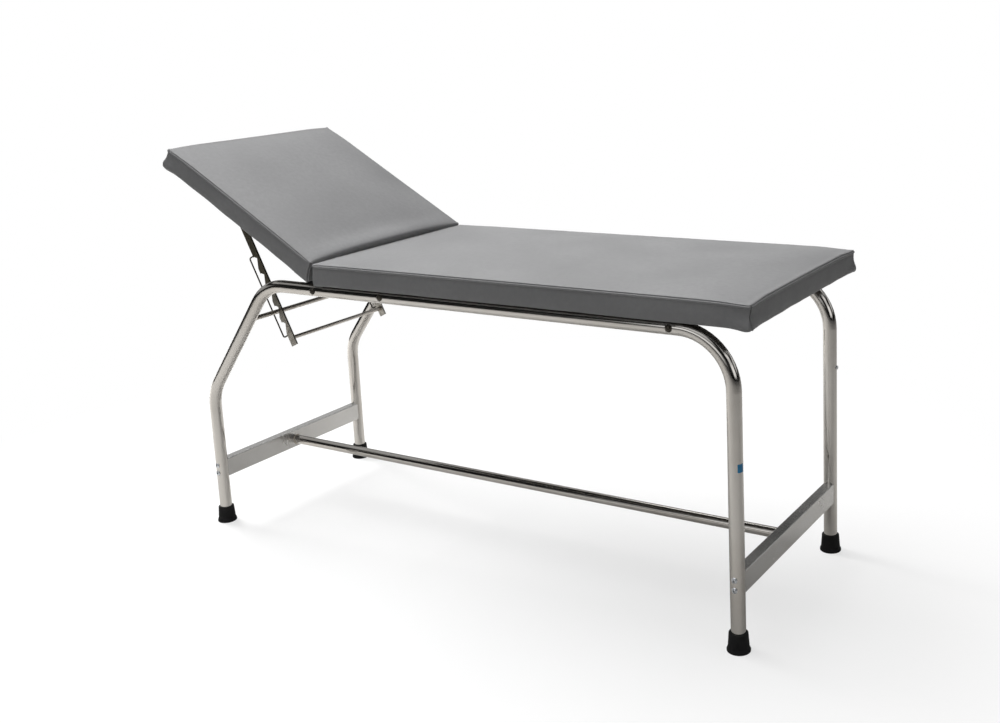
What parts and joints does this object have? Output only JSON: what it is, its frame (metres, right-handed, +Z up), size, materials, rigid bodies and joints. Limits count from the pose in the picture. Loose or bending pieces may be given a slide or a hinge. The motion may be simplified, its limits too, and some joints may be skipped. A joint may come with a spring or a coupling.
{
  "type": "examination couch",
  "caption": "Padded examination couch on a bent steel tube frame, with a hinged backrest propped by notched ratchet bars over a rest rod.",
  "frame": {"origin": "on the floor, mid-width, half way along the couch with its backrest raised as at rest", "axes": "+X from the head end to the foot end, +Y across the couch, +Z up"},
  "size_m": [1.6522, 0.6, 1.0288],
  "materials": {
    "leatherette": "matte grey leatherette with a fine grain",
    "plywood": "black-stained plywood",
    "polished_steel": "polished stainless steel",
    "satin_steel": "satin brushed stainless steel",
    "ratchet_steel": "dull flat bar",
    "painted_steel": "black powder coat",
    "zinc_steel": "zinc plated",
    "dark_steel": "blackened domed heads",
    "black_rubber": "matte moulded rubber",
    "black_plastic": "moulded nylon",
    "blue_film": "plain blue film, blank"
  },
  "bodies": {
    "frame": {"side_frame_near": "polished_steel", "side_frame_far": "polished_steel", "head_cross_member": "satin_steel", "foot_cross_member": "satin_steel", "cross_member_inserts": "zinc_steel", "cross_member_screws": "zinc_steel", "stretcher_bar": "polished_steel", "rubber_foot_head_near": "black_rubber", "rubber_foot_head_far": "black_rubber", "rubber_foot_foot_near": "black_rubber", "rubber_foot_foot_far": "black_rubber", "seat_cross_rail_head": "painted_steel", "seat_cross_rail_foot": "painted_steel", "seat_rail_inserts": "zinc_steel", "seat_rail_bolts": "dark_steel", "seat_board": "plywood", "seat_board_screws": "zinc_steel", "seat_cushion": "leatherette", "hinge_bolts": "dark_steel", "hinge_spacers": "black_plastic", "hinge_nuts": "zinc_steel", "accessory_screw": "zinc_steel", "blank_label": "blue_film"},
    "backrest": {"hinge_plate_near": "painted_steel", "hinge_plate_far": "painted_steel", "backrest_side_tube_near": "painted_steel", "backrest_side_tube_far": "painted_steel", "backrest_cross_tube_hinge": "painted_steel", "backrest_cross_tube_head": "painted_steel", "pivot_bracket_near": "ratchet_steel", "pivot_bracket_far": "ratchet_steel", "backrest_board": "plywood", "backrest_board_screws": "zinc_steel", "backrest_cushion": "leatherette"},
    "rest_rod": {"rest_rod": "polished_steel"},
    "ratchet": {"ratchet_bar_near": "ratchet_steel", "ratchet_bar_far": "ratchet_steel", "guard_wire_near": "ratchet_steel", "guard_wire_far": "ratchet_steel", "tie_rod": "polished_steel", "pivot_pins": "zinc_steel", "pivot_clips": "zinc_steel"}
  },
  "joints": [
    {"name": "backrest_hinge", "type": "hinge", "parent": "frame", "child": "backrest", "pos_m": [-0.33894, 0, 0.68], "axis": [0, 1, 0], "range_deg": [-30, 11]},
    {"name": "rest_rod_turn", "type": "hinge", "parent": "frame", "child": "rest_rod", "pos_m": [-0.58734, 0, 0.5803], "axis": [0, 1, 0], "range_deg": [-38, 14.2]},
    {"name": "ratchet_slide", "type": "slide", "parent": "rest_rod", "child": "ratchet", "axis": [-0.4384, 0, 0.8988], "range_m": [-0.133, 0.049]}
  ],
  "couplings": [
    {"joint": "rest_rod_turn", "follows": "backrest_hinge", "ratio": 1.249},
    {"joint": "ratchet_slide", "follows": "backrest_hinge", "m_per_rad": 0.25096}
  ]
}
